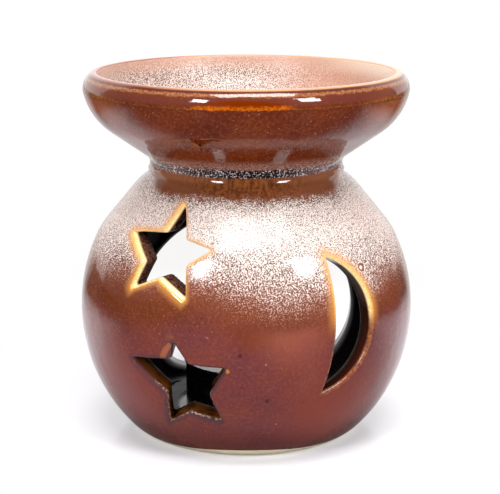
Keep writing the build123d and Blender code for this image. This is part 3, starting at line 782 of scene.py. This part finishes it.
# The tealight's cup: thin aluminium foil pressed into a fluted cup, with its rim rolled outwards. It
# stands in the well, and everything of the tealight rides with it.
CUP_BASE = WELL_FLOOR
CUP_PROFILE = (
    (0, 0, 0), (18.5, 0, 1.0), (18.5, 14.5, 0.1), (19.0, 14.6, 0.35), (19.0, 15.5, 0.45),
    (18.0, 15.5, 0.45), (18.1, 14.3, 0.3), (18.1, 0.4, 0.8), (0, 0.4, 0),
)
CUP_FLUTES = (48, 0.4, 1.0, 14.4)  # how many, how deep, and the heights that they run between
foil, tree, shader, in_mm = finish_of("pressed_aluminium_foil")
# Rolled aluminium: bright, with fine drawing marks that scatter the gloss
marks = grain(tree, in_mm, 0.6, 3, 0.6)
tree.links.new(blend(tree, marks, "#b9babd", "#e2e3e6"), shader.inputs["Base Color"])
tree.links.new(ramp(tree, marks, 0.3, 0.7, 0.22, 0.4), shader.inputs["Roughness"])
shader.inputs["Metallic"].default_value = 1.0
relief(tree, shader, grain(tree, in_mm, 2.2, 2), 0.25, 0.4)
cup = turned(
    "foil_cup", CUP_PROFILE, foil,
    steps_round=8 * CUP_FLUTES[0], corner_steps=5, base=CUP_BASE, flutes=CUP_FLUTES,
)
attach(cup, "tealight")
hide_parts("tealight_cup")

# The wax: white paraffin, poured into the cup round the wick and its sustainer. It sets with a shallow
# dip in its top and holds them both.
WAX_PROFILE = (
    (6.6, 0.42, 0), (17.66, 0.42, 0.4), (17.66, 13.5, 0.5), (14, 13.15, 8), (5, 12.9, 5), (0.93, 13.3, 0.2),
    (0.93, 4.45, 0), (1.55, 4.45, 0), (1.55, 0.74, 0), (6.6, 0.74, 0), (6.6, 0.42, 0),
)
paraffin, tree, shader, in_mm = finish_of("poured_paraffin_wax")
# Paraffin lets light in a few millimetres and is faintly cloudy
tree.links.new(blend(tree, grain(tree, in_mm, 6, 3), "#ece8dc", "#f6f3ea"), shader.inputs["Base Color"])
shader.inputs["Roughness"].default_value = 0.38
shader.inputs["IOR"].default_value = 1.43
shader.inputs["Subsurface Weight"].default_value = 0.6
shader.inputs["Subsurface Scale"].default_value = 3 * MM
relief(tree, shader, grain(tree, in_mm, 3, 3), 0.15, 0.5)
wax = turned("poured_wax", WAX_PROFILE, paraffin, steps_round=128, corner_steps=5, base=CUP_BASE)
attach(wax, "tealight")
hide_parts("tealight_wax")

# The wick: six strands of bleached cotton braided round each other and dipped in wax, standing in
# the crimp of its tin sustainer.
WICK_FOOT = 4.92
WICK_TOP = 25.68
WICK_TURNS = 4.0
STRANDS_EACH_WAY = 3
STRAND_RADIUS = 0.3
STRAND_LAY = 0.58  # the strands run round the wick this far from its middle
braid, ask = form_group("braided_wick", (
    ("Length", "Float"), ("Foot", "Float"), ("Turns", "Float"), ("Lay", "Float"), ("Strand", "Float"),
    ("Finish", "Material"),
))
bundle = add(braid, "GeometryNodeJoinGeometry")
for reverse in (False, True):
    path = add(braid, "GeometryNodeCurveSpiral", {
        "Resolution": 24, "Rotations": ask["Turns"], "Start Radius": ask["Lay"], "End Radius": ask["Lay"],
        "Height": ask["Length"], "Reverse": reverse,
    }).outputs[0]
    section = {"Resolution": 8, "Radius": ask["Strand"]}
    ring = add(braid, "GeometryNodeCurvePrimitiveCircle", section).outputs[0]
    tube = {"Curve": path, "Profile Curve": ring, "Fill Caps": True}
    strand = add(braid, "GeometryNodeCurveToMesh", tube).outputs[0]
    starts = add(braid, "GeometryNodePoints", {"Count": STRANDS_EACH_WAY}).outputs[0]
    lead = product(braid, add(braid, "GeometryNodeInputIndex").outputs[0], 2 * pi / STRANDS_EACH_WAY)
    lead = figure(braid, "ADD", lead, pi / 2 / STRANDS_EACH_WAY if reverse else 0)
    twist = add(braid, "ShaderNodeCombineXYZ", {"Z": lead}).outputs[0]
    laid = {"Points": starts, "Instance": strand, "Rotation": twist}
    braid.links.new(add(braid, "GeometryNodeInstanceOnPoints", laid).outputs[0], bundle.inputs[0])
lift = add(braid, "ShaderNodeCombineXYZ", {"Z": ask["Foot"]}).outputs[0]
stood = {"Geometry": bundle.outputs[0], "Translation": lift}
give_form(braid, add(braid, "GeometryNodeTransform", stood).outputs[0], ask["Finish"])

cotton, tree, shader, in_mm = finish_of("waxed_cotton")
# Bleached cotton under a thin coat of wax, with the fibres' shadow in its hollows
fibre = grain(tree, in_mm, 0.12, 3)
tree.links.new(blend(tree, fibre, "#cfc5ab", "#f1ecdc"), shader.inputs["Base Color"])
shader.inputs["Roughness"].default_value = 0.6
relief(tree, shader, fibre, 0.4, 0.1)
wick = made_by(braid, "braided_wick", {
    "Length": (WICK_TOP - WICK_FOOT) * MM, "Foot": WICK_FOOT * MM, "Turns": WICK_TURNS,
    "Lay": STRAND_LAY * MM, "Strand": STRAND_RADIUS * MM, "Finish": cotton,
})
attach(wick, "tealight")
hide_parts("wick")

# The sustainer: a disc with a tube, stamped from tinned steel and crimped onto the wick's foot. It lies
# on the cup's floor, buried in the wax. Its CAD solid stays.
tin, tree, shader, in_mm = finish_of("tinned_steel")
# Hot-dipped tin: bright, with a soft crystal bloom
bloom = grain(tree, in_mm, 1.5, 2)
tree.links.new(blend(tree, bloom, "#a9a8a6", "#d3d2cf"), shader.inputs["Base Color"])
tree.links.new(ramp(tree, bloom, 0.3, 0.7, 0.25, 0.45), shader.inputs["Roughness"])
shader.inputs["Metallic"].default_value = 1.0
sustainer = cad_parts["wick_sustainer"]
sustainer.data.materials.clear()
sustainer.data.materials.append(tin)

# The table and the studio: a white sweep of paper under a soft overhead light and two small lamps,
# with the room dark behind the camera.
SHEET_HALF = 3.0
LAMP_AIM = 0.05
table_mesh = bpy.data.meshes.new("paper_sweep")
corner_places = [(x * SHEET_HALF, y * SHEET_HALF, 0) for x, y in ((-1, -1), (1, -1), (1, 1), (-1, 1))]
table_mesh.from_pydata(corner_places, [], [(0, 1, 2, 3)])


def length_of(tree, across, along):
    """Length of a level vector with these two parts."""
    squares = figure(tree, "ADD", figure(tree, "POWER", across, 2), figure(tree, "POWER", along, 2))
    return figure(tree, "SQRT", squares)


paper, tree, shader, in_mm = finish_of("white_paper")
# Matt paper with a slight sheen, whose far part is as white as the backdrop. Behind the burner its soft
# shadow is painted grey into the paper and reaches far back, so distances behind it count for less, and
# the paper nearer is painted faintly lavender for the ball's reflection in its shade. To glossy rays the
# paper in front and far out at the sides is painted nearly black, a painted dark reflection, so the glaze
# mirrors it only beside and behind the burner.
split = add(tree, "ShaderNodeSeparateXYZ", {0: in_mm}).outputs
across, along = split["X"], split["Y"]
# Painted shadow: grey behind the burner; painted reflection: faint lavender nearer
tree.links.new(blend(tree, ramp(tree, along, 60, 200), "#f4f2f8", "#bdbbb9"), shader.inputs["Base Color"])
shader.inputs["Roughness"].default_value = 0.16
stretched = figure(tree, "MAXIMUM", product(tree, along, 0.14), product(tree, along, -1))
from_shadow = length_of(tree, across, stretched)
distance = length_of(tree, across, along)
rays = add(tree, "ShaderNodeLightPath").outputs
white = add(tree, "ShaderNodeEmission", {"Color": (1, 1, 1, 1), "Strength": 1.0}).outputs[0]
far = product(tree, ramp(tree, from_shadow, 42, 88, 0.3, 1.0), rays["Is Camera Ray"])
beside = ramp(tree, figure(tree, "DIVIDE", along, distance), 0.85, 0.7)
beyond = product(tree, ramp(tree, distance, 160, 300), beside)
# Painted dark reflection: to glossy rays the paper in front and far at the sides turns nearly black
painted_dark_reflection = figure(tree, "MAXIMUM", ramp(tree, along, 42, -52), beyond)
painted_dark_reflection = product(tree, painted_dark_reflection, rays["Is Glossy Ray"], 0.88)
surface = add(tree, "ShaderNodeMixShader", {0: far, 1: shader.outputs[0], 2: white}).outputs[0]
surface = add(tree, "ShaderNodeMixShader", {0: painted_dark_reflection, 1: surface}).outputs[0]
tree.links.new(surface, tree.nodes["Material Output"].inputs["Surface"])
table_mesh.materials.append(paper)
table = bpy.data.objects.new("paper_sweep", table_mesh)
bpy.context.collection.objects.link(table)

world = bpy.data.worlds.new("studio")
bpy.context.scene.world = world
world.use_nodes = True
tree = world.node_tree
# White to the camera. What the glaze mirrors is a dim room at the sides, a bright sweep behind the
# burner and a soft glow overhead.
way = add(tree, "ShaderNodeTexCoord").outputs["Generated"]
split = add(tree, "ShaderNodeSeparateXYZ", {0: way}).outputs
flat = length_of(tree, split["X"], split["Y"])
sideways = figure(tree, "SUBTRACT", figure(tree, "DIVIDE", split["X"], flat), 0.05)
room = ramp(tree, figure(tree, "ABSOLUTE", sideways), 0.2, 0.45, 0.0, 0.18)
back = figure(tree, "SUBTRACT", split["Y"], product(tree, split["X"], 0.08))
sweep = ramp(tree, figure(tree, "DIVIDE", back, flat), 0.5, 0.6)
sweep = product(tree, sweep, ramp(tree, split["Z"], 0.8, 0.6), 1.25)
room = figure(tree, "MAXIMUM", room, sweep)
room = figure(tree, "MAXIMUM", room, ramp(tree, split["Z"], 0.6, 0.95, 0.0, 0.5))
seen = add(tree, "ShaderNodeLightPath").outputs["Is Camera Ray"]
strength = add(tree, "ShaderNodeMix", {0: seen, 2: room, 3: 1.0}).outputs[0]
tree.links.new(strength, tree.nodes["Background"].inputs["Strength"])
tree.nodes["Background"].inputs["Color"].default_value = (1, 1, 1, 1)


def lamp(name, azimuth, elevation, distance, width, height, watts):
    """Soft area lamp that points at the burner. Its angles are in degrees, azimuth 0 being the front."""
    light = bpy.data.lights.new(name, "AREA")
    light.shape = "RECTANGLE"
    light.size, light.size_y = width, height
    light.energy = watts
    holder = bpy.data.objects.new(name, light)
    a, e = radians(azimuth), radians(elevation)
    out = (sin(a) * cos(e), -cos(a) * cos(e), sin(e))
    holder.location = (distance * out[0], distance * out[1], LAMP_AIM + distance * out[2])
    holder.rotation_euler = (pi / 2 - e, 0, a)
    holder.visible_camera = False
    bpy.context.collection.objects.link(holder)


lamp("lamp_right", azimuth=47, elevation=36, distance=1.2, width=0.26, height=0.4, watts=7.5)
lamp("lamp_left", azimuth=-35, elevation=35, distance=1.2, width=0.22, height=0.34, watts=6.5)
lamp("softbox_above", azimuth=12, elevation=73, distance=1.1, width=0.75, height=0.34, watts=12)

CAMERA_PLACE = (0, -0.4404, 0.1584)
CAMERA_TILT = 76.67  # degrees up from straight down
CAMERA_LENS, CAMERA_SHIFT = 107.65, 0.0076
camera = bpy.data.objects.new("camera", bpy.data.cameras.new("camera"))
camera.location = CAMERA_PLACE
camera.rotation_euler = (radians(CAMERA_TILT), 0, 0)
camera.data.lens = CAMERA_LENS
camera.data.sensor_width = 36
camera.data.shift_x = CAMERA_SHIFT
camera.data.clip_start = 0.01
bpy.context.collection.objects.link(camera)
bpy.context.scene.camera = camera
bpy.context.scene.view_settings.view_transform = "Standard"
